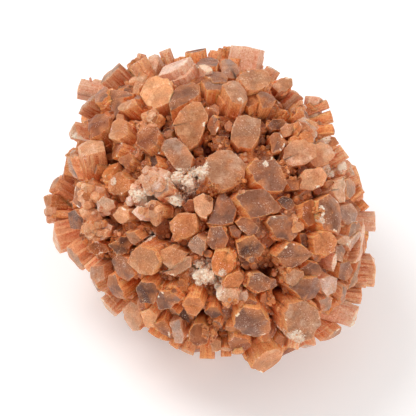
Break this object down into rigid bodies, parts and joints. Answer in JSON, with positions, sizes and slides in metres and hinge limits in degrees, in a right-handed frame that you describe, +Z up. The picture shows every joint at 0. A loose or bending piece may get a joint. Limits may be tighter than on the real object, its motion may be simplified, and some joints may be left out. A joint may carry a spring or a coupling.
{
  "type": "aragonite sputnik cluster",
  "caption": "Rough rounded cluster of stubby six-sided orange-brown aragonite crystals that radiate from one centre, lying on a small flat spot.",
  "frame": {"origin": "centre of the bounding box in plan, on the level of the flat spot the cluster lies on", "axes": "+Z up; the cluster's best side faces forward and up, between -Y and +Z; its long axis lies level, from the left back to the right front"},
  "size_m": [0.0834, 0.0886, 0.0695],
  "materials": {
    "aragonite": "satin natural crystal faces, reddish orange striated sides with paler ends and chalky white crust"
  },
  "bodies": {
    "root": {"crystal_cluster": "aragonite"}
  },
  "joints": []
}
